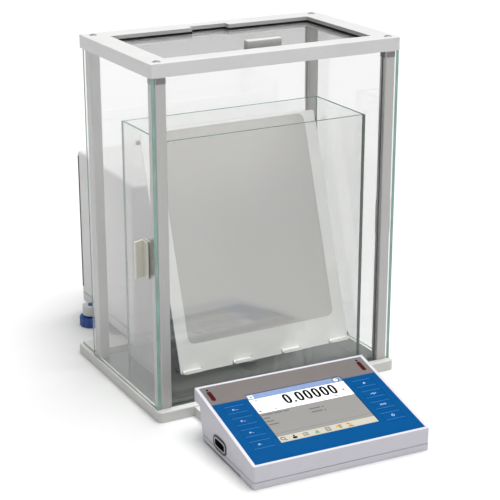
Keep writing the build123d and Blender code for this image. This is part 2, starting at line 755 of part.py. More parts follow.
def d_socket(width, height, depth):
    """A D-shaped socket with nine pins, facing +Z, its mouth at the origin."""
    half, top = width / 2, height / 2
    lean = height * SOCKET_LEAN
    corners = [(-half, top), (half, top), (half - lean, -top), (lean - half, -top)]
    outline = make_face(Polyline(*corners, close=True))
    body = Pos(0, 0, -depth) * extrude(outline, depth)
    body = fillet(body.edges().filter_by(Axis.Z), height * SOCKET_ROUND)
    mouth = Pos(0, 0, -depth * SOCKET_MOUTH) * extrude(offset(outline, -SOCKET_SHELL_T), depth)
    body -= mouth
    for count, row in SOCKET_PIN_ROWS:
        for index in range(count):
            pin_x = (index - (count - 1) / 2) * width * SOCKET_PIN_PITCH
            place = Pos(pin_x, height * row, -depth * SOCKET_PIN_MIDDLE)
            body += place * Cylinder(SOCKET_PIN_R, depth * SOCKET_PIN_L)
    return body


def serial_ports():
    back = PANEL_FRONT + GAP + PANEL_T + SERIAL_PROUD
    socket = Rot(-90, 0, 0) * d_socket(SERIAL_W, SERIAL_H, SERIAL_D)
    return Compound(children=[Pos(x, back, PORTS_Z) * socket for x in SERIAL_X])


# ---- Weighing cell and internal adjustment weight ----

def load_cell_block():
    """Machined block with the thin parallel guides left by its slots."""
    x = (-CELL_X, CELL_X)
    cell = block(x, CELL_Y, CELL_Z)
    for z in CELL_SLOT_Z:
        cell -= block(past(x), CELL_SLOT_Y, (z, z + CELL_SLOT_H))
    for y in CELL_BORE_Y:
        cell -= cross_rod(past(x), y, (CELL_Z[0] + CELL_Z[1]) / 2, CELL_BORE_R)
    return cell + block((-PIVOT_HALF_W, PIVOT_HALF_W), PIVOT_Y, (CELL_Z[1], LEVER_Z[0]))


def beam_lever():
    """Lever from the arm's riser to the coil that hangs in the magnet pot."""
    x = (-LEVER_HALF_W, LEVER_HALF_W)
    front = ARM_REAR - LEVER_HANGER_L
    lever = block(x, (front, MAGNET_Y + LEVER_PAST), LEVER_Z)
    lever += block(x, (front, ARM_REAR), (ARM_RISER_TOP, LEVER_Z[0]))
    coil = rod(0, MAGNET_Y, COIL_Z, COIL_R) - rod(0, MAGNET_Y, past(COIL_Z), COIL_R - COIL_T)
    return lever + coil + rod(0, MAGNET_Y, (COIL_Z[1], LEVER_Z[0]), COIL_R)


def magnet_pot():
    """Pot with the ring slot that the coil hangs in."""
    core_r, slot_r = MAGNET_SLOT_R
    slot = (MAGNET_SLOT_BOTTOM, MAGNET_TOP + CUT)
    pot = rod(0, MAGNET_Y, (CELL_Z[0], MAGNET_TOP), MAGNET_R)
    return pot - (rod(0, MAGNET_Y, slot, slot_r) - rod(0, MAGNET_Y, past(slot), core_r))


def adjustment_weight():
    weight = cross_rod(span(WEIGHT_X, WEIGHT_L), WEIGHT_Y, LIFTER_Z[1] + WEIGHT_R, WEIGHT_R)
    return fillet(weight.edges(), WEIGHT_EDGE_R)


def weight_lifter():
    """Fork under the weight, carried by a nut on the drive screw."""
    depth = span(WEIGHT_Y, FORK_D)
    fork = block(span(WEIGHT_X, FORK_W), depth, LIFTER_Z)
    for side in (-1, 1):
        horn = span(WEIGHT_X + side * HORN_X, HORN_T)
        fork += block(horn, depth, (LIFTER_Z[0], LIFTER_Z[1] + HORN_H))
    fork += block(span(DRIVE_X, LIFTER_ARM_W), (WEIGHT_Y, DRIVE_Y), LIFTER_Z)
    nut = (LIFTER_Z[0], LIFTER_Z[1] + NUT_H)
    fork += rod(DRIVE_X, DRIVE_Y, nut, NUT_R)
    return fork - rod(DRIVE_X, DRIVE_Y, past(nut), DRIVE_R + RUNNING)


def drive_screw():
    collar = (DRIVE_Z[0], DRIVE_Z[0] + DRIVE_COLLAR_H)
    return rod(DRIVE_X, DRIVE_Y, DRIVE_Z, DRIVE_R) + rod(DRIVE_X, DRIVE_Y, collar, DRIVE_COLLAR_R)


def drive_motor():
    """Gear motor over the screw, on a bent bracket fixed to the chassis."""
    motor = rod(DRIVE_X, DRIVE_Y, MOTOR_Z, MOTOR_R)
    x = (DRIVE_X - MOTOR_PLATE_HALF_W, DRIVE_X + MOTOR_PLATE_HALF_W)
    rear = DRIVE_Y + MOTOR_PLATE_REACH
    plate = block(x, (DRIVE_Y - MOTOR_PLATE_HALF_W, rear), MOTOR_PLATE_Z)
    leg = block(x, (rear - MOTOR_LEG_T, rear), (CELL_Z[0], MOTOR_PLATE_Z[1]))
    return motor + plate + leg


def main_board():
    """Circuit board with its larger components, on two posts from the rear panel."""
    board = block(BOARD_X, BOARD_Y, BOARD_Z)
    for x, height, z in BOARD_CHIPS:
        board += block(x, (BOARD_Y[0] - height, BOARD_Y[0]), z)
    for x in CAPACITOR_X:
        board += long_rod(x, (BOARD_Y[0] - CAPACITOR_L, BOARD_Y[0]), CAPACITOR_Z, CAPACITOR_R)
    for x in BOARD_POST_X:
        board += block(span(x, BOARD_POST_W), (BOARD_Y[1], PANEL_FRONT + GAP), BOARD_POST_Z)
    return board


# ---- Levelling feet ----

def levelling_foot():
    """The left foot: a ribbed knob moulded on a threaded stud."""
    knob = rod(-FOOT_X, FOOT_Y, (0, FOOT_H), FOOT_R)
    knob = chamfer(knob.edges(), FOOT_EDGE)
    for index in range(FOOT_FLUTES):
        angle = 2 * math.pi * index / FOOT_FLUTES
        x = -FOOT_X + (FOOT_R + FLUTE_OUT) * math.cos(angle)
        y = FOOT_Y + (FOOT_R + FLUTE_OUT) * math.sin(angle)
        knob -= rod(x, y, past((0, FOOT_H)), FLUTE_R)
    return knob + rod(-FOOT_X, FOOT_Y, (FOOT_H - CUT, HOUSING_SEAM + STUD_PROUD), STUD_R)


# ---- Terminal ----

def deck_z(y, below=0.0):
    """Height of the sloping deck at y, or of a plane below it."""
    tilt = math.radians(PANEL_TILT)
    return TERMINAL_FRONT_H + y * math.tan(tilt) - below / math.cos(tilt)


def rear_wall_y(z):
    """Place of the terminal's leaning rear wall at a height."""
    return TERMINAL_D - TERMINAL_LIP - TERMINAL_REAR_LEAN * (1 - z / TERMINAL_LIP_Z)


def terminal_upper_shell():
    outer = [
        (0, TERMINAL_SEAM), (0, TERMINAL_FRONT_H), (TERMINAL_D, TERMINAL_REAR_H),
        (TERMINAL_D, TERMINAL_LIP_Z), (rear_wall_y(TERMINAL_LIP_Z), TERMINAL_LIP_Z),
        (rear_wall_y(TERMINAL_SEAM), TERMINAL_SEAM)
    ]
    shell = side_profile(outer, (0, TERMINAL_W))
    front_corners = shell.edges().filter_by(Axis.Z).group_by(Axis.Y)[0]
    shell = fillet(shell.faces().sort_by(Axis.Z)[-1].edges() + front_corners, TERMINAL_EDGE_R)
    wall = TERMINAL_WALL
    inner_rear = rear_wall_y(TERMINAL_LIP_Z) - wall
    inner = [
        (wall, TERMINAL_SEAM - CUT), (wall, deck_z(wall, TERMINAL_DECK)),
        (inner_rear, deck_z(inner_rear, TERMINAL_DECK)),
        (rear_wall_y(TERMINAL_SEAM - CUT) - wall, TERMINAL_SEAM - CUT)
    ]
    shell -= side_profile(inner, (wall, TERMINAL_W - wall))
    shell = TERMINAL_PLACE * shell
    shell -= on_deck(block(SHEET_U, SHEET_V, (-SHEET_T, DECK_CUT[1])))
    shell -= on_deck(block(SCREEN_U, SCREEN_V, DECK_CUT))
    for u, v in key_places():
        shell -= on_deck(block(span(u, KEY_W), span(v, KEY_H), (-SHEET_T - KEY_SINK, DECK_CUT[1])))
        shell -= on_deck(rod(u, v, DECK_CUT, KEY_STEM_R + STEM_CLEARANCE))
    for u in SENSOR_U:
        shell -= on_deck(sensor_window(u, 2 * GAP, DECK_CUT))
    return shell - port_block(GAP)


def key_places():
    return [(u, v) for u in KEY_U for v in KEY_V]


def sensor_window(u, grow, z):
    outline = SlotOverall(SENSOR_L + grow, SENSOR_W + grow, rotation=90)
    return Pos(u, SENSOR_V, z[0]) * extrude(outline, z[1] - z[0])


def port_block(grow):
    """Space for the socket in the terminal's left wall."""
    hole = block(past((0, TERMINAL_WALL)), span(PORT_Y, PORT_W + grow), span(PORT_Z, PORT_H + grow))
    return TERMINAL_PLACE * hole


def terminal_lower_shell():
    rear = rear_wall_y(0)
    underside = TERMINAL_UNDERSIDE
    outer = [
        (0, 0), (0, TERMINAL_SEAM), (rear_wall_y(TERMINAL_SEAM), TERMINAL_SEAM), (rear, underside),
        (TERMINAL_FRONT_BAR, underside), (TERMINAL_FRONT_BAR, 0)
    ]
    shell = side_profile(outer, (0, TERMINAL_W))
    corners = shell.edges().filter_by(Axis.Z).group_by(Axis.Y)[0]
    shell = fillet(corners, TERMINAL_EDGE_R)
    wall = TERMINAL_WALL
    inside = (wall, rear - wall)
    shell -= block((wall, TERMINAL_W - wall), inside, (underside + TERMINAL_FLOOR_T, TERMINAL_SEAM + CUT))
    for x in TERMINAL_FOOT_X:
        shell += rod(x, rear - TERMINAL_FOOT_BACK, (0, underside + CUT), TERMINAL_FOOT_R)
    groove = (TERMINAL_SEAM - SEAM_GROOVE_H, TERMINAL_SEAM + CUT)
    rim = block(past((0, TERMINAL_W)), past((0, rear_wall_y(TERMINAL_SEAM))), groove)
    core_x = (SEAM_GROOVE_D, TERMINAL_W - SEAM_GROOVE_D)
    core_y = (SEAM_GROOVE_D, rear_wall_y(TERMINAL_SEAM) - SEAM_GROOVE_D)
    shell -= rim - block(core_x, core_y, groove)
    return TERMINAL_PLACE * shell


def keypad_sheet():
    sheet = block(SHEET_U, (SHEET_V[0], STRIP_V), (-SHEET_T, 0))
    through = past((-SHEET_T, 0))
    sheet -= block(SCREEN_U, SCREEN_V, through)
    for u, v in key_places():
        sheet -= block(span(u, KEY_W), span(v, KEY_H), through)
    return on_deck(sheet)


def sensor_strip():
    strip = block(SHEET_U, (STRIP_V, SHEET_V[1]), (-SHEET_T, 0))
    through = past((-SHEET_T, 0))
    strip -= block(SCREEN_U, SCREEN_V, through)
    for u in SENSOR_U:
        strip -= sensor_window(u, 2 * GAP, through)
    return on_deck(strip)


def key(u, v):
    """A key cap with the stem that presses its switch."""
    cap = block(span(u, KEY_W - 2 * GAP), span(v, KEY_H - 2 * GAP), (-SHEET_T, 0))
    return on_deck(cap + rod(u, v, (-KEY_STEM_L, -SHEET_T), KEY_STEM_R))


def screen_glass():
    u = (SCREEN_U[0] + GAP, SCREEN_U[1] - GAP)
    v = (SCREEN_V[0] + GAP, SCREEN_V[1] - GAP)
    return on_deck(block(u, v, (-TERMINAL_DECK, -SCREEN_SUNK)))


def display_module():
    u = (SCREEN_U[0] - MODULE_MARGIN, SCREEN_U[1] + MODULE_MARGIN)
    v = (SCREEN_V[0] - MODULE_MARGIN, SCREEN_V[1] + MODULE_MARGIN)
    return on_deck(block(u, v, (-TERMINAL_DECK - MODULE_T, -TERMINAL_DECK)))


def terminal_board():
    """Circuit board with a switch under each key."""
    board = block(*TERMINAL_BOARD)
    switch = (TERMINAL_BOARD[2][1], -KEY_STEM_L - KEY_TRAVEL - GAP)
    for u, v in key_places():
        board += block(span(u, SWITCH_W), span(v, SWITCH_W), switch)
    return on_deck(board)


def sensor_windows():
    z = (-TERMINAL_DECK, -SENSOR_SUNK)
    return Compound(children=[on_deck(sensor_window(u, 0, z)) for u in SENSOR_U])


def terminal_port():
    socket = Rot(0, 0, 90) * Rot(90, 0, 0) * Rot(0, 180, 0) * d_socket(PORT_W, PORT_H, PORT_D)
    return TERMINAL_PLACE * Pos(-PORT_PROUD, PORT_Y, PORT_Z) * socket


# ---- Export ----

def nodes():
    """Every sub-part of the balance by name."""
    parts = {
        "base_tray": base_tray(),
        "floor_plate": floor_plate(),
        "terminal_bracket": terminal_bracket(),
        "top_frame": top_frame(),
        "top_gasket": top_gasket(),
        "frame_screws": frame_screws(),
        "front_glass": fixed_pane(FRONT_POST_Y),
        "rear_glass": rear_glass(),
        "top_door_glass": top_door_glass(),
        "top_door_handle": top_door_handle(),
        "filter_plate": filter_plate(),
        "filter_mesh": filter_mesh(),
        "carrier_rods": carrier_rods(),
        "carrier_frame": carrier_frame(),
        "weighing_arm": weighing_arm(),
        "chassis": chassis(),
        "housing_cover": housing_cover(),
        "rear_panel": rear_panel(),
        "rear_panel_screws": rear_panel_screws(),
        "power_inlet": power_inlet(),
        "serial_ports": serial_ports(),
        "load_cell_block": load_cell_block(),
        "beam_lever": beam_lever(),
        "magnet_pot": magnet_pot(),
        "adjustment_weight": adjustment_weight(),
        "weight_lifter": weight_lifter(),
        "drive_screw": drive_screw(),
        "drive_motor": drive_motor(),
        "main_board": main_board(),
        "terminal_upper_shell": terminal_upper_shell(),
        "terminal_lower_shell": terminal_lower_shell(),
        "keypad_sheet": keypad_sheet(),
        "sensor_strip": sensor_strip(),
        "screen_glass": screen_glass(),
        "display_module": display_module(),
        "terminal_board": terminal_board(),
        "sensor_windows": sensor_windows(),
        "terminal_port": terminal_port(),
    }
    parts.update(shield_panes())
    post_names = ("front_left_post", "rear_left_post", "front_right_post", "rear_right_post")
    for name, place in zip(post_names, post_places()):
        parts[name] = corner_post(*place)
    for name, maker in (("door_glass", door_glass), ("door_handle", door_handle), ("foot", levelling_foot)):
        parts["left_" + name], parts["right_" + name] = both_sides(maker())
    for number, (u, v) in enumerate(key_places(), start=1):
        parts[f"key_{number}"] = key(u, v)
    return parts


os.makedirs("parts", exist_ok=True)
for node, shape in nodes().items():
    export_step(shape, f"parts/{node}.step")
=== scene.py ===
import json
import math

import bmesh
import bpy
from mathutils import Matrix, Vector


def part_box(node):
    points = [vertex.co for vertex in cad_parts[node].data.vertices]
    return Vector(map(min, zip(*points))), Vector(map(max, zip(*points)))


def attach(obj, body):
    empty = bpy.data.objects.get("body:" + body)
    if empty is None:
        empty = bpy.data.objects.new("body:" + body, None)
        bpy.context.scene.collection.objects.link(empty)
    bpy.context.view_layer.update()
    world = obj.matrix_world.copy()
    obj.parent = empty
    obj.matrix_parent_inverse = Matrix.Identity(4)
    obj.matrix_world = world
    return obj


# Looks of the analytical balance. Lengths are metres, and deck places are millimetres on the terminal.

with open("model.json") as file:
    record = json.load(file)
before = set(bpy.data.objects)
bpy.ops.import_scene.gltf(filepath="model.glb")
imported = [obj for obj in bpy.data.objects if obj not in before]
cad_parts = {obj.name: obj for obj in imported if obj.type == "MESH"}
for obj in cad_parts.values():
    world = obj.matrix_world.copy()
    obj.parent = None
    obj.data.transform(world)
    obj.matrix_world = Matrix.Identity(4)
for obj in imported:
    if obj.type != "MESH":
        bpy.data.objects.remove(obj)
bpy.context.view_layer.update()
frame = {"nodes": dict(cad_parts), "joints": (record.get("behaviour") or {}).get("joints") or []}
NODES = frame["nodes"]
MM = 0.001

# ---- Camera ----

CAMERA_PLACE = Vector((-0.7426, -1.3873, 0.6847))
CAMERA_LOOK = Vector((0.45564, 0.82720, -0.32883))
CAMERA_LENS = 104.9
CAMERA_SENSOR = 36.0

# ---- Colours, linear ----

WHITE_COAT = (0.70, 0.70, 0.695)
TRAY_COAT = (0.62, 0.62, 0.60)
CHASSIS_COAT = (0.62, 0.62, 0.62)
POST_METAL = (0.50, 0.495, 0.485)
CELL_METAL = (0.60, 0.60, 0.61)
STEEL = (0.56, 0.56, 0.57)
DARK_METAL = (0.05, 0.05, 0.055)
GRIP = (0.68, 0.67, 0.60)
TOP_GRIP = (0.66, 0.655, 0.64)
CAP = (0.22, 0.215, 0.21)
PLATE = (0.86, 0.86, 0.84)
FIELD = (0.62, 0.605, 0.59)
FIELD_HOLE = (0.49, 0.48, 0.465)
FLOOR_MIRROR = (0.34, 0.375, 0.36)
GLASS = (0.915, 0.918, 0.915)
GLASS_SHADE = (0.985, 0.99, 0.985)      # the lamp's light after it has passed through a pane
# the cut edges' green is the glass's own tint; the inner panes' much darker edge colour is also painted
# shade
OUTER_EDGE = (0.25, 0.42, 0.37)
INNER_EDGE = (0.060, 0.165, 0.115)
SHELL = (0.61, 0.60, 0.655)
BLUE_FOIL = (0.0005, 0.072, 0.235)
GREY_FOIL = (0.185, 0.167, 0.163)
FOOT_BLUE = (0.003, 0.06, 0.30)
BLACK = (0.010, 0.010, 0.011)
BEZEL = (0.020, 0.024, 0.030)
SENSOR_RED = (0.070, 0.008, 0.010)
BOARD_GREEN = (0.010, 0.095, 0.035)
LINE_BLUE = (0.05, 0.20, 0.50)
LEGEND = (0.50, 0.64, 0.84)
TITLE = (0.21, 0.29, 0.50)
READOUT = (0.90, 0.91, 0.93)
LOWER = (0.265, 0.26, 0.25)
RULE = (0.13, 0.13, 0.135)
TOOLBAR = (0.50, 0.48, 0.41)
ICON_PALE = (0.75, 0.80, 0.88)
ICON_GREEN = (0.14, 0.32, 0.16)
ICON_AMBER = (0.62, 0.33, 0.07)
ICON_RED = (0.50, 0.06, 0.05)
INK = (0.008, 0.008, 0.010)


# ---- Materials ----

GLASS_IOR = 1.5
PERFORATION_PITCH = 0.0016
ALONG_X = (0.02, 1, 1)                  # draws a metal's lines out along one axis
ALONG_Y = (1, 0.02, 1)
ALONG_Z = (1, 1, 0.015)


class Surface:
    """A node material round one Principled shader, with short ways to add detail."""

    def __init__(self, name, color, roughness, metallic=0.0, coat=0.0):
        self.material = bpy.data.materials.new(name)
        self.material.use_nodes = True
        self.nodes = self.material.node_tree.nodes
        self.links = self.material.node_tree.links
        self.shader = self.nodes["Principled BSDF"]
        self.color = color
        self.roughness = roughness
        self.put("Base Color", (*color, 1))
        self.put("Roughness", roughness)
        self.put("Metallic", metallic)
        self.put("Coat Weight", coat)
        self.place = self.nodes.new("ShaderNodeTexCoord").outputs["Object"]

    def put(self, socket, value):
        self.shader.inputs[socket].default_value = value

    def mapped(self, scale=(1, 1, 1), turn=(0, 0, 0)):
        """Object coordinates, turned first and then stretched."""
        vector = self.place
        for socket, value in (("Rotation", turn), ("Scale", scale)):
            node = self.nodes.new("ShaderNodeMapping")
            node.inputs[socket].default_value = value
            self.links.new(vector, node.inputs["Vector"])
            vector = node.outputs["Vector"]
        return vector

    def noise(self, scale, detail=2.0, stretch=(1, 1, 1)):
        node = self.nodes.new("ShaderNodeTexNoise")
        node.inputs["Scale"].default_value = scale
        node.inputs["Detail"].default_value = detail
        self.links.new(self.mapped(stretch), node.inputs["Vector"])
        return node.outputs["Fac"]

    def ramp(self, value, low, high, low_at=0.3, high_at=0.7):
        node = self.nodes.new("ShaderNodeValToRGB")
        first, last = node.color_ramp.elements
        first.position, last.position = low_at, high_at
        first.color, last.color = (*low, 1), (*high, 1)
        self.links.new(value, node.inputs["Fac"])
        return node.outputs["Color"]

    def cloud(self, value, amount):
        """Let the base colour drift a little either side of its middle."""
        low = [c * (1 - amount) for c in self.color]
        high = [min(1.0, c * (1 + amount)) for c in self.color]
        self.links.new(self.ramp(value, low, high), self.shader.inputs["Base Color"])

    def roughen(self, value, low, high):
        node = self.nodes.new("ShaderNodeMapRange")
        node.inputs["To Min"].default_value = low
        node.inputs["To Max"].default_value = high
        self.links.new(value, node.inputs["Value"])
        self.links.new(node.outputs["Result"], self.shader.inputs["Roughness"])

    def mix(self, share, first, second):
        """A Mix Shader that goes from one shader node to another."""
        node = self.nodes.new("ShaderNodeMixShader")
        self.links.new(share, node.inputs["Fac"])
        self.links.new(first.outputs[0], node.inputs[1])
        self.links.new(second.outputs[0], node.inputs[2])
        return node

    def bump(self, value, strength, distance):
        node = self.nodes.new("ShaderNodeBump")
        node.inputs["Strength"].default_value = strength
        node.inputs["Distance"].default_value = distance
        self.links.new(value, node.inputs["Height"])
        self.links.new(node.outputs["Normal"], self.shader.inputs["Normal"])

    def relief(self, value, smoother, rougher, strength, distance):
        """Fine relief, with a gloss that varies along with it."""
        self.roughen(value, self.roughness - smoother, self.roughness + rougher)
        self.bump(value, strength, distance)


def powder_coat(name, color, roughness=0.42):
    """Sprayed powder coat: a fine orange peel and very faint clouding."""
    surface = Surface(name, color, roughness)
    surface.cloud(surface.noise(scale=30.0), amount=0.025)
    peel = surface.noise(scale=1300.0)
    surface.relief(peel, smoother=0.06, rougher=0.06, strength=0.25, distance=0.00006)
    return surface.material


def moulded(name, color, roughness=0.44, coat=0.0):
    """Moulded plastic with a fine eroded grain."""
    surface = Surface(name, color, roughness, coat=coat)
    surface.cloud(surface.noise(scale=45.0), amount=0.02)
    grain = surface.noise(scale=2400.0)
    surface.relief(grain, smoother=0.05, rougher=0.05, strength=0.30, distance=0.00005)
    return surface.material


def drawn_metal(name, color, roughness=0.34, metallic=0.6, stretch=ALONG_Z):
    """Extruded or milled metal with lines along one axis."""
    surface = Surface(name, color, roughness, metallic)
    lines = surface.noise(scale=1500.0, stretch=stretch)
    surface.cloud(lines, amount=0.05)
    surface.relief(lines, smoother=0.06, rougher=0.08, strength=0.15, distance=0.00003)
    return surface.material


def foil(name, color, roughness=0.30):
    """Printed keypad foil under a clear, faintly textured face."""
    surface = Surface(name, color, roughness)
    surface.put("Specular IOR Level", 0.03)
    surface.cloud(surface.noise(scale=25.0), amount=0.03)
    grain = surface.noise(scale=1900.0)
    surface.relief(grain, smoother=0.04, rougher=0.06, strength=0.12, distance=0.00003)
    return surface.material


def lit(name, color, glow):
    """A lit area of the display, behind a smooth cover."""
    surface = Surface(name, color, roughness=0.24, coat=0.05)
    surface.put("Specular IOR Level", 0.25)
    surface.put("Emission Color", (*color, 1))
    surface.put("Emission Strength", glow)
    surface.cloud(surface.noise(scale=20.0), amount=0.015)
    return surface.material


def brush_strip(name, color):
    """Short dense pile of the sealing strip."""
    surface = Surface(name, color, roughness=0.9)
    pile = surface.noise(scale=3200.0, detail=1.0)
    surface.cloud(pile, amount=0.4)
    surface.bump(pile, strength=0.8, distance=0.0002)
    return surface.material


def perforated(name, color, hole, tilt):
    """A sheet with close rows of small holes, laid out in the plane of the tilted plate."""
    surface = Surface(name, color, roughness=0.5, metallic=0.15)
    cells = surface.nodes.new("ShaderNodeTexVoronoi")
    cells.inputs["Scale"].default_value = 1 / PERFORATION_PITCH
    cells.inputs["Randomness"].default_value = 0.0
    flat = surface.mapped(turn=(-tilt, 0, 0), scale=(1, 1, 0))
    surface.links.new(flat, cells.inputs["Vector"])
    dots = surface.ramp(cells.outputs["Distance"], hole, color, low_at=0.22, high_at=0.34)
    shade = surface.nodes.new("ShaderNodeMix")
    shade.data_type = "RGBA"
    shade.blend_type = "MULTIPLY"
    shade.inputs["Factor"].default_value = 1.0
    surface.links.new(dots, shade.inputs["A"])
    drift = surface.noise(scale=9.0, detail=3.0)
    shading = surface.ramp(drift, (0.94, 0.94, 0.94), (1.0, 1.0, 1.0))
    surface.links.new(shading, shade.inputs["B"])
    surface.links.new(shade.outputs["Result"], surface.shader.inputs["Base Color"])
    surface.bump(cells.outputs["Distance"], strength=0.35, distance=0.0002)
    return surface.material


def dark_glass(name, color):
    """The polished chamber floor, which mirrors what stands on it."""
    surface = Surface(name, color, roughness=0.07, metallic=0.80)
    haze = surface.noise(scale=14.0, detail=4.0)
    surface.cloud(haze, amount=0.06)
    surface.roughen(haze, low=0.05, high=0.12)
    return surface.material


def clear_glass(name, color, edge_color, thin_axis):
    """Float glass: clear through its faces, green along its cut edges. Lamps shine through it."""
    surface = Surface(name, edge_color, roughness=0.12)
    surface.cloud(surface.noise(scale=60.0), amount=0.12)
    clear = surface.nodes.new("ShaderNodeBsdfPrincipled")
    clear.inputs["Base Color"].default_value = (*color, 1)
    clear.inputs["Roughness"].default_value = 0.0
    clear.inputs["IOR"].default_value = GLASS_IOR
    clear.inputs["Transmission Weight"].default_value = 1.0
    split = surface.nodes.new("ShaderNodeSeparateXYZ")
    normal = surface.nodes.new("ShaderNodeNewGeometry").outputs["True Normal"]
    surface.links.new(normal, split.inputs["Vector"])
    size = surface.nodes.new("ShaderNodeMath")
    size.operation = "ABSOLUTE"
    surface.links.new(split.outputs[thin_axis], size.inputs[0])
    face = surface.nodes.new("ShaderNodeMath")
    face.operation = "GREATER_THAN"
    face.inputs[1].default_value = 0.5
    surface.links.new(size.outputs["Value"], face.inputs[0])
    pane = surface.mix(face.outputs["Value"], surface.shader, clear)
    through = surface.nodes.new("ShaderNodeBsdfTransparent")
    through.inputs["Color"].default_value = (*GLASS_SHADE, 1)
    shadow = surface.nodes.new("ShaderNodeLightPath").outputs["Is Shadow Ray"]
    whole = surface.mix(shadow, pane, through)
    surface.links.new(whole.outputs[0], surface.nodes["Material Output"].inputs["Surface"])
    return surface.material


def circuit_board(name, color):
    """Solder mask over rows of copper tracks."""
    surface = Surface(name, color, roughness=0.35, coat=0.3)
    tracks = surface.nodes.new("ShaderNodeTexBrick")
    tracks.inputs["Scale"].default_value = 160.0
    tracks.inputs["Color1"].default_value = (*color, 1)
    tracks.inputs["Color2"].default_value = (*[c * 1.35 for c in color], 1)
    tracks.inputs["Mortar"].default_value = (*[c * 0.6 for c in color], 1)
    surface.links.new(surface.mapped(turn=(math.pi / 2, 0, 0)), tracks.inputs["Vector"])
    surface.links.new(tracks.outputs["Color"], surface.shader.inputs["Base Color"])
    return surface.material


# ---- Which node wears which material ----

# panes by the axis that runs through their thickness
OUTER_PANES = {
    "X": ("left_door_glass", "right_door_glass"),
    "Y": ("front_glass", "rear_glass"),
    "Z": ("top_door_glass",),
}
INNER_PANES = {
    "X": ("shield_left_pane", "shield_right_pane"),
    "Y": ("shield_front_pane", "shield_rear_pane"),
}


def dress(material, *names):
    """Give CAD nodes a material in every slot they have."""
    for name in names:
        slots = NODES[name].material_slots
        if not slots:
            NODES[name].data.materials.append(material)
        for slot in NODES[name].material_slots:
            slot.material = material


def plate_tilt():
    """Angle of the plate's plane from the horizontal, from its own height and depth."""
    low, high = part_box("filter_mesh")
    return math.atan2(high.z - low.z, high.y - low.y)


def dress_nodes():
    """Every CAD node's material."""
    dress(powder_coat("white_powder_coat", WHITE_COAT), "top_frame", "housing_cover")
    dress(powder_coat("tray_powder_coat", TRAY_COAT), "base_tray", "terminal_bracket")
    dress(powder_coat("chassis_powder_coat", CHASSIS_COAT), "chassis")
    corners = [f"{end}_{side}_post" for end in ("front", "rear") for side in ("left", "right")]
    dress(drawn_metal("anodised_post", POST_METAL, roughness=0.38, metallic=0.35), *corners)
    milled = drawn_metal("milled_aluminium", CELL_METAL, roughness=0.32, metallic=0.8, stretch=ALONG_Y)
    dress(milled, "weighing_arm", "carrier_frame", "load_cell_block", "beam_lever", "weight_lifter")
    rod = drawn_metal("dark_rod", DARK_METAL, roughness=0.35, metallic=0.6, stretch=ALONG_X)
    dress(rod, "carrier_rods")
    dress(drawn_metal("satin_steel", STEEL, roughness=0.3, metallic=0.9),
          "frame_screws", "rear_panel_screws", "drive_screw", "drive_motor", "display_module")
    dress(drawn_metal("polished_steel", STEEL, roughness=0.12, metallic=1.0), "adjustment_weight")
    dress(drawn_metal("magnet_steel", DARK_METAL, roughness=0.45, metallic=0.7), "magnet_pot")
    dress(brush_strip("sealing_pile", BLACK), "top_gasket")
    for axis, panes in OUTER_PANES.items():
        dress(clear_glass(f"outer_glass_{axis}", GLASS, OUTER_EDGE, axis), *panes)
    for axis, panes in INNER_PANES.items():
        dress(clear_glass(f"inner_glass_{axis}", GLASS, INNER_EDGE, axis), *panes)
    dress(moulded("satin_grip", GRIP, roughness=0.36), "left_door_handle", "right_door_handle")
    dress(moulded("pale_grip", TOP_GRIP, roughness=0.4), "top_door_handle")
    dress(powder_coat("plate_paint", PLATE, roughness=0.34), "filter_plate")
    dress(perforated("perforated_field", FIELD, FIELD_HOLE, plate_tilt()), "filter_mesh")
    dress(dark_glass("polished_floor", FLOOR_MIRROR), "floor_plate")
    dress(moulded("panel_black", BLACK, roughness=0.5),
          "rear_panel", "power_inlet", "serial_ports", "terminal_port")
    dress(moulded("foot_blue", FOOT_BLUE, roughness=0.3, coat=0.2), "left_foot", "right_foot")
    shell = moulded("terminal_plastic", SHELL, roughness=0.42)
    dress(shell, "terminal_upper_shell", "terminal_lower_shell")
    keys = [f"key_{number}" for number in range(1, 9)]
    dress(foil("blue_foil", BLUE_FOIL), "keypad_sheet", *keys)
    dress(foil("grey_foil", GREY_FOIL), "sensor_strip")
    dress(foil("sensor_red", SENSOR_RED, roughness=0.15), "sensor_windows")
    dress(foil("screen_bezel", BEZEL, roughness=0.12), "screen_glass")
    dress(circuit_board("solder_mask", BOARD_GREEN), "main_board", "terminal_board")


# ---- The terminal's deck ----

SCREEN_CORNER = (43.7, 27.2)      # the screen's lower left corner on the deck
SCREEN_DEPTH = 0.3                # how far the screen lies below the deck


def deck_matrix():
    """Turns deck places, in metres along U, V and out of the deck, into the frame."""
    press = next(j for j in frame["joints"] if j["name"] == "key_1_press")
    out = -Vector(press["axis"]).normalized()
    along = Vector((0, 0, 1)).cross(out).normalized()
    up = out.cross(along)
    corners = [v.co for v in NODES["screen_glass"].data.vertices]
    low = [min(c.dot(along) for c in corners), min(c.dot(up) for c in corners)]
    top = max(c.dot(out) for c in corners)
    origin = along * (low[0] - SCREEN_CORNER[0] * MM) + up * (low[1] - SCREEN_CORNER[1] * MM)
    origin += out * (top + SCREEN_DEPTH * MM)
    axes = Matrix((along, up, out)).transposed().to_4x4()
    return Matrix.Translation(origin) @ axes


DECK = deck_matrix()


def rounded(u, v, radius=0.3, steps=4):
    """Outline of a rounded rectangle between two limits each way."""
    points = []
    corners = ((u[1], v[1], 0), (u[0], v[1], 1), (u[0], v[0], 2), (u[1], v[0], 3))
    for corner_u, corner_v, quarter in corners:
        middle_u = corner_u - radius * (1 if quarter in (0, 3) else -1)
        middle_v = corner_v - radius * (1 if quarter in (0, 1) else -1)
        for step in range(steps + 1):
            angle = math.pi / 2 * (quarter + step / steps)
            points.append((middle_u + radius * math.cos(angle), middle_v + radius * math.sin(angle)))
    return points


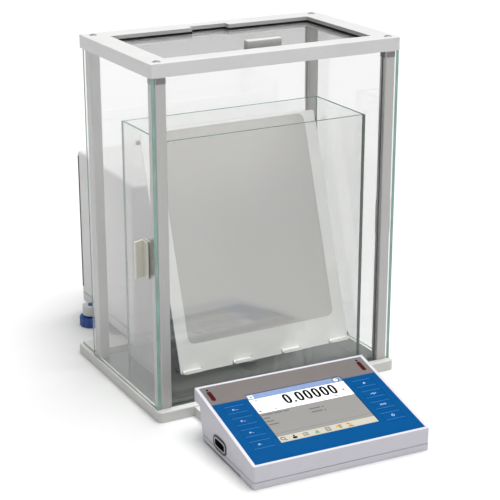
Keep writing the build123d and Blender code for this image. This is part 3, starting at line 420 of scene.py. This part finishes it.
def bar(middle_u, middle_v, width, height, radius=0.15):
    """Outline of a short bar about its middle."""
    radius = min(radius, width / 2.1, height / 2.1)
    u = (middle_u - width / 2, middle_u + width / 2)
    return rounded(u, (middle_v - height / 2, middle_v + height / 2), radius)


def disc(middle_u, middle_v, radius, sides=24):
    """Outline of a regular shape with its first corner to the right."""
    turns = [2 * math.pi * k / sides for k in range(sides)]
    return [(middle_u + radius * math.cos(t), middle_v + radius * math.sin(t)) for t in turns]


def oval(middle_u, middle_v, half_w, half_h, power=2.6, sides=48):
    """A squarish oval, for the rings of the digits."""
    points = []
    for k in range(sides):
        c, s = math.cos(2 * math.pi * k / sides), math.sin(2 * math.pi * k / sides)
        points.append((middle_u + half_w * math.copysign(abs(c) ** (2 / power), c),
                       middle_v + half_h * math.copysign(abs(s) ** (2 / power), s)))
    return points


def add_outline(mesh, outline, layer):
    """A solid slab from an outline, between a layer's two heights."""
    low, high = layer
    base = [mesh.verts.new((u * MM, v * MM, low * MM)) for u, v in outline]
    top = [mesh.verts.new((u * MM, v * MM, high * MM)) for u, v in outline]
    mesh.faces.new(top)
    mesh.faces.new(base[::-1])
    for k in range(len(base)):
        after = (k + 1) % len(base)
        mesh.faces.new((base[k], base[after], top[after], top[k]))


def add_ring(mesh, outer, inner, layer):
    """A slab with a hole, from two outlines that have the same number of points."""
    loops = []
    for outline in (outer, inner):
        for z in layer:
            loops.append([mesh.verts.new((u * MM, v * MM, z * MM)) for u, v in outline])
    outer_low, outer_high, inner_low, inner_high = loops
    for k in range(len(outer)):
        n = (k + 1) % len(outer)
        mesh.faces.new((outer_high[k], outer_high[n], inner_high[n], inner_high[k]))
        mesh.faces.new((outer_low[n], outer_low[k], inner_low[k], inner_low[n]))
        mesh.faces.new((outer_low[k], outer_low[n], outer_high[n], outer_high[k]))
        mesh.faces.new((inner_low[n], inner_low[k], inner_high[k], inner_high[n]))


def linked(name, data):
    """A new object for a mesh, a lamp or a camera, put into the scene."""
    thing = bpy.data.objects.new(name, data)
    bpy.context.scene.collection.objects.link(thing)
    return thing


def piece_from(name, mesh, material, body, place=Matrix()):
    """Turn a finished bmesh into a piece that rides a body."""
    data = bpy.data.meshes.new(name)
    mesh.to_mesh(data)
    mesh.free()
    data.transform(place)
    data.materials.append(material)
    piece = linked(name, data)
    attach(piece, body)


def deck_piece(name, material, layer, outlines=(), rings=(), body="terminal", place=DECK):
    """One thin printed or raised piece on the deck or another face, from outlines and rings."""
    mesh = bmesh.new()
    for outline in outlines:
        add_outline(mesh, outline, layer)
    for outer, inner in rings:
        add_ring(mesh, outer, inner, layer)
    bmesh.ops.recalc_face_normals(mesh, faces=mesh.faces)
    piece_from(name, mesh, material, body, place)


# ---- Screen ----

SCREEN_U = (44.2, 155.8)
TITLE_V = (104.0, 112.9)
READOUT_V = (78.6, 104.0)
LOWER_V = (37.8, 78.6)
TOOLBAR_V = (27.5, 37.8)
AREA_GAP = 0.05                         # an area stays this far inside its limits
BASE_LAYER = (-0.31, -0.25)
PRINT_LAYER = (-0.26, -0.21)
TOP_LAYER = (-0.22, -0.18)

DIGIT_V = 94.2
DIGIT_HALF_H = 8.3
DIGIT_HALF_W = 4.1
DIGIT_STROKE = 3.0
DIGIT_STROKE_FLAT = 0.85                # the stroke over and under a zero, as a share of its sides'
DIGIT_U = (83.8, 98.2, 108.0, 117.8, 127.6, 137.4)
POINT_PLACE = (91.0, 87.4)
POINT_SIZE = 2.8

# middle along U and V, width and height of the small signs about the readout
SIGNS = (
    (46.0, 100.6, 2.6, 1.3),
    (51.0, 100.9, 3.0, 1.5),
    (148.4, 90.4, 2.2, 2.6),
    (148.7, 88.2, 1.0, 1.6),
    (135.4, 82.4, 4.6, 1.2),
    (65.0, 82.2, 3.2, 1.2),
)
LEVEL_SIGN = (47.6, 82.6, 1.8)          # middle and half width of the diamond

ROW_U = 45.4
ROW_V = 75.4
ROW_PITCH = 5.65
ROW_HEIGHT = 1.7
WORDS = ((13.0, 9.5, 6.0), (6.4,), (8.6,), (11.4,))
WORD_GAP = 1.3
VALUE_ROWS = (1, 2)
VALUE_U = 103.4
VALUE_LENGTH = 12.4
UNIT_U = 112.9
UNIT_SIZE = (1.8, 1.9)
UNIT_DROP = 0.2

RULE_V = (78.6, 42.6, 37.8)
RULE_WIDTH = 0.3

MENU_BUTTON = ((45.6, 51.6), (105.6, 111.4))
HELP_U = 148.6
HELP_RADIUS = 3.9
HELP_RIM = 1.0
ICON_U = 48.6
ICON_PITCH = 12.72
ICON_COUNT = 7


def screen_areas():
    """The coloured areas that the display is divided into."""
    areas = (
        ("screen_title", TITLE, TITLE_V, 0.10),
        ("screen_readout", READOUT, READOUT_V, 0.20),
        ("screen_lower", LOWER, LOWER_V, 0.06),
        ("screen_toolbar", TOOLBAR, TOOLBAR_V, 0.06),
    )
    for name, color, (low, high), glow in areas:
        outline = rounded(SCREEN_U, (low + AREA_GAP, high - AREA_GAP), 0.2)
        deck_piece(name, lit(name, color, glow), BASE_LAYER, [outline])


def zero_ring(u):
    outer = oval(u, DIGIT_V, DIGIT_HALF_W, DIGIT_HALF_H)
    inner_h = DIGIT_HALF_H - DIGIT_STROKE * DIGIT_STROKE_FLAT
    return outer, oval(u, DIGIT_V, DIGIT_HALF_W - DIGIT_STROKE, inner_h)


def screen_readout(ink):
    """A zero, a decimal point and five more zeros."""
    point = bar(*POINT_PLACE, POINT_SIZE, POINT_SIZE)
    rings = [zero_ring(u) for u in DIGIT_U]
    deck_piece("screen_digits", ink, PRINT_LAYER, [point], rings)


def screen_signs(material):
    signs = [bar(*sign) for sign in SIGNS]
    signs.append(disc(*LEVEL_SIGN, sides=4))
    deck_piece("screen_signs", material, PRINT_LAYER, signs)


def screen_rows(material):
    """Rows of short bars that stand for lines of data."""
    bars = []
    for row, lengths in enumerate(WORDS):
        start = ROW_U
        for length in lengths:
            bars.append(bar(start + length / 2, ROW_V - ROW_PITCH * row, length, ROW_HEIGHT))
            start += length + WORD_GAP
    for row in VALUE_ROWS:
        v = ROW_V - ROW_PITCH * row
        bars.append(bar(VALUE_U, v, VALUE_LENGTH, ROW_HEIGHT))
        bars.append(bar(UNIT_U, v - UNIT_DROP, *UNIT_SIZE))
    deck_piece("screen_rows", material, PRINT_LAYER, bars)


def screen_rules(material):
    """Thin lines between the display's areas."""
    middle = sum(SCREEN_U) / 2
    width = SCREEN_U[1] - SCREEN_U[0]
    lines = [bar(middle, v, width, RULE_WIDTH) for v in RULE_V]
    deck_piece("screen_rules", material, PRINT_LAYER, lines)


def title_buttons(ink, pale):
    """A square button and a round one at the two ends of the title bar, with plain marks."""
    v = sum(TITLE_V) / 2
    face = disc(HELP_U, v, HELP_RADIUS - HELP_RIM)
    deck_piece("screen_buttons", pale, PRINT_LAYER, [rounded(*MENU_BUTTON, 0.8), face])
    marks = [bar(47.9, v, 0.8, 3.4), bar(49.8, v, 0.8, 3.4), bar(48.8, v, 2.4, 0.8)]
    marks.append(bar(HELP_U, v, 2.6, 1.1))
    rim = (disc(HELP_U, v, HELP_RADIUS), face)
    deck_piece("screen_button_marks", ink, TOP_LAYER, marks, [rim])


def toolbar(ink):
    """A row of seven small pictures, all plain shapes: what is drawn in one colour is one piece."""
    v = sum(TOOLBAR_V) / 2
    lens, person, lines, peak, sheet, blocks, tool = [ICON_U + ICON_PITCH * k for k in range(ICON_COUNT)]
    rings = [
        (disc(lens, v + 0.6, 2.6), disc(lens, v + 0.6, 1.8)),
        (bar(sheet, v, 5.2, 6.4, 0.5), bar(sheet, v, 3.8, 5.0, 0.3)),
    ]
    dark = [bar(lens + 2.6, v - 2.4, 2.4, 0.9)]
    dark += [bar(person, v + 1.9, 2.2, 2.2, 1.0), bar(person, v - 1.4, 5.0, 3.4, 1.4)]
    dark += [bar(lines, v + 2.0 - 2.0 * k, 6.4, 0.7) for k in range(3)]
    dark += [bar(sheet, v - 0.8 + 1.4 * k, 2.4, 0.5) for k in range(2)]
    dark += [bar(tool, v - 2.8, 6.2, 0.8)]
    deck_piece("toolbar_dark", ink, PRINT_LAYER, dark, rings)
    triangle = [(peak - 3, v - 2.6), (peak + 3, v - 2.6), (peak, v + 3.0)]
    colored = (
        ("green", ICON_GREEN, [triangle, disc(blocks + 1.2, v - 1.0, 1.8)]),
        ("amber", ICON_AMBER, [bar(blocks - 1.6, v + 1.2, 3.0, 3.0), disc(tool, v, 2.1)]),
        ("red", ICON_RED, [bar(blocks + 1.4, v + 2.0, 3.4, 1.8), bar(tool - 1.8, v + 2.0, 2.4, 1.6)]),
    )
    for name, color, shapes in colored:
        material = lit(f"icon_{name}", color, 0.1)
        deck_piece(f"toolbar_{name}", material, PRINT_LAYER, shapes)


def screen():
    ink = foil("screen_ink", INK, roughness=0.25)
    text = foil("screen_text", RULE)
    screen_areas()
    screen_readout(ink)
    screen_signs(text)
    screen_rows(text)
    screen_rules(foil("screen_rule", RULE))
    title_buttons(ink, lit("icon_pale", ICON_PALE, 0.3))
    toolbar(ink)



# ---- Keypad ----

LEGEND_LAYER = (-0.02, 0.03)
LEFT_LEGEND_U = 23.0
RIGHT_LEGEND_U = 175.2
KEY_V = (32.0, 52.5, 73.0, 93.5)
KEY_RULE_OFFSET = 6.0
KEY_RULE_U = ((13.6, 36.4), (163.6, 186.4))
KEY_RULE_WIDTH = 0.5
DOT_PITCH = 0.9
DOT_RADIUS = 0.32
EYE_U = (10.5, 188.5)
EYE_V = 134.0
EYE_RADIUS = 1.5
EYE_LAYER = (-0.05, 0.06)


def left_legend(row):
    """A small sign of three bars, with one dot after it for each key from the bottom up."""
    u, v = LEFT_LEGEND_U, KEY_V[row]
    shapes = [bar(u - 0.9, v + 0.9, 2.4, 0.6), bar(u - 0.9, v - 0.2, 2.4, 0.6), bar(u - 1.8, v, 0.6, 2.4)]
    shapes += [disc(u + 1.2 + DOT_PITCH * k, v - 0.8, DOT_RADIUS, 12) for k in range(row + 1)]
    return shapes, []


def right_legend(row):
    """From the bottom up: a ring with a bar, a ring between bars, an oval between arrows, a triangle."""
    u, v = RIGHT_LEGEND_U, KEY_V[row]
    if row == 0:
        return [bar(u, v + 1.6, 0.6, 1.9)], [(disc(u, v, 1.8), disc(u, v, 1.2))]
    if row == 1:
        bars = [bar(u + 1.5 * k, v, 0.6, 2.6) for k in (-2, -1, 1, 2)]
        return bars, [(disc(u, v, 0.9, 16), disc(u, v, 0.5, 16))]
    if row == 2:
        arrows = [
            [(u - 3.0, v + 1.0), (u - 3.0, v - 1.0), (u - 1.6, v)],
            [(u + 3.0, v - 1.0), (u + 3.0, v + 1.0), (u + 1.6, v)],
        ]
        return arrows, [(oval(u, v, 1.0, 1.5), oval(u, v, 0.55, 1.05))]
    return [[(u - 1.6, v - 1.2), (u + 1.6, v - 1.2), (u, v + 1.6)]], []


def key_rules(row, column):
    """The two fine lines over and under a key's legend."""
    low, high = KEY_RULE_U[column]
    heights = (KEY_V[row] - KEY_RULE_OFFSET, KEY_V[row] + KEY_RULE_OFFSET)
    return [bar((low + high) / 2, v, high - low, KEY_RULE_WIDTH) for v in heights]


def keypad():
    """What is printed on the keys, riding them, and the sensors' dark eyes."""
    white = foil("legend_white", LEGEND, roughness=0.35)
    line = foil("keypad_line", LINE_BLUE, roughness=0.35)
    for row in range(len(KEY_V)):
        for column, legend in enumerate((left_legend, right_legend)):
            key = f"key_{len(KEY_V) * column + row + 1}"
            shapes, rings = legend(row)
            deck_piece(f"{key}_legend", white, LEGEND_LAYER, shapes, rings, key)
            deck_piece(f"{key}_rules", line, LEGEND_LAYER, key_rules(row, column), body=key)
    eyes = [disc(u, EYE_V, EYE_RADIUS) for u in EYE_U]
    deck_piece("sensor_eyes", foil("eye_black", BLACK, roughness=0.1), EYE_LAYER, eyes)



# ---- Socket trim ----

COLLAR_OUTER = (15.2, 7.9, 3.4)      # half width, half height and squareness
COLLAR_INNER = (12.9, 5.4, 9.0)
COLLAR_LAYER = (-0.65, 0.15)
RIM_OUTER = (12.5, 5.1, 5.0)
RIM_INNER = (11.4, 4.1, 5.0)
RIM_LAYER = (-0.05, 0.12)


def socket_matrix():
    """Turns places on the terminal's left wall, about the middle of its socket, into the frame."""
    out = -DECK.col[0].xyz
    up = Vector((0, 0, 1))
    along = up.cross(out)
    corners = [v.co for v in NODES["terminal_port"].data.vertices]
    origin = out * max(c.dot(out) for c in corners)
    for axis in (along, up):
        places = [c.dot(axis) for c in corners]
        origin += axis * (min(places) + max(places)) / 2
    return Matrix.Translation(origin) @ Matrix((along, up, out)).transposed().to_4x4()


def socket_trim():
    """A rounded black collar round the terminal's socket, and the socket's metal rim."""
    place = socket_matrix()
    trims = (
        ("port_collar", moulded("collar_black", BLACK, roughness=0.4), COLLAR_LAYER,
         COLLAR_OUTER, COLLAR_INNER),
        ("port_rim", drawn_metal("rim_steel", STEEL, roughness=0.35, metallic=0.8), RIM_LAYER,
         RIM_OUTER, RIM_INNER),
    )
    for name, material, layer, outer, inner in trims:
        ring = (oval(0, 0, *outer), oval(0, 0, *inner))
        deck_piece(name, material, layer, rings=[ring], place=place)


# ---- Post caps ----

CAP_HEIGHT = 0.008
CAP_PROUD = 0.0003
CAP_GAP = 0.0001                        # between a cap and the top of its post
CAP_ROUND = 0.0012


def post_caps():
    """Dark blocks round the tops of the front posts, just under the top frame."""
    material = moulded("cap_grey", CAP, roughness=0.5)
    for side in ("left", "right"):
        low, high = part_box(f"front_{side}_post")
        size = (high.x - low.x + 2 * CAP_PROUD, high.y - low.y + 2 * CAP_PROUD, CAP_HEIGHT)
        middle = Vector(((low.x + high.x) / 2, (low.y + high.y) / 2, high.z - CAP_HEIGHT / 2 - CAP_GAP))
        mesh = bmesh.new()
        bmesh.ops.create_cube(mesh, size=1.0)
        bmesh.ops.scale(mesh, vec=size, verts=mesh.verts)
        bmesh.ops.translate(mesh, vec=middle, verts=mesh.verts)
        bmesh.ops.bevel(mesh, geom=mesh.edges, offset=CAP_ROUND, segments=3, affect="EDGES")
        piece_from(f"{side}_post_cap", mesh, material, "cabinet")


# ---- Stage, lights and camera ----

FLOOR_HALF = 12.0
FLOOR_PALE = (0.76, 0.76, 0.76)
LAMP_ENERGY = 3.65
LAMP_SPREAD = 50                        # degrees across, for soft shadows
LAMP_DIRECTION = Vector((-0.20, 0.02, -1.0))
GLOW_DIRECTION = Vector((0.75, -0.45, 0.48))
GLOW_AWAY = 0.22                        # strength of the studio's glow, opposite that direction
GLOW_TOWARDS = 0.36


def stage_floor():
    """A wide, plain, pale floor."""
    data = bpy.data.meshes.new("stage_floor")
    corners = [(x * FLOOR_HALF, y * FLOOR_HALF, 0) for x, y in ((-1, -1), (1, -1), (1, 1), (-1, 1))]
    data.from_pydata(corners, [], [(0, 1, 2, 3)])
    surface = Surface("pale_floor", FLOOR_PALE, roughness=0.9)
    surface.put("Specular IOR Level", 0.1)
    data.materials.append(surface.material)
    linked("stage_floor", data)


def lamp():
    """One broad lamp overhead."""
    data = bpy.data.lights.new("overhead", "SUN")
    data.energy = LAMP_ENERGY
    data.angle = math.radians(LAMP_SPREAD)
    linked("overhead", data).rotation_euler = LAMP_DIRECTION.to_track_quat("-Z", "Y").to_euler()


def studio_glow():
    """A white surround that is a little brighter on the front right."""
    world = bpy.data.worlds.new("studio")
    bpy.context.scene.world = world
    world.use_nodes = True
    nodes, links = world.node_tree.nodes, world.node_tree.links
    direction = nodes.new("ShaderNodeTexCoord").outputs["Generated"]
    side = nodes.new("ShaderNodeVectorMath")
    side.operation = "DOT_PRODUCT"
    side.inputs[1].default_value = GLOW_DIRECTION.normalized()
    links.new(direction, side.inputs[0])
    ramp = nodes.new("ShaderNodeMapRange")
    ramp.inputs["From Min"].default_value = -1.0
    ramp.inputs["To Min"].default_value = GLOW_AWAY
    ramp.inputs["To Max"].default_value = GLOW_TOWARDS
    links.new(side.outputs["Value"], ramp.inputs["Value"])
    links.new(ramp.outputs["Result"], nodes["Background"].inputs["Strength"])
    nodes["Background"].inputs["Color"].default_value = (1, 1, 1, 1)


def camera():
    data = bpy.data.cameras.new("camera")
    data.lens = CAMERA_LENS
    data.sensor_width = CAMERA_SENSOR
    data.dof.use_dof = False
    view = linked("camera", data)
    view.location = CAMERA_PLACE
    view.rotation_euler = CAMERA_LOOK.to_track_quat("-Z", "Y").to_euler()
    bpy.context.scene.camera = view
    bpy.context.scene.view_settings.view_transform = "Standard"



camera()
stage_floor()
lamp()
studio_glow()
dress_nodes()
screen()
keypad()
socket_trim()
post_caps()
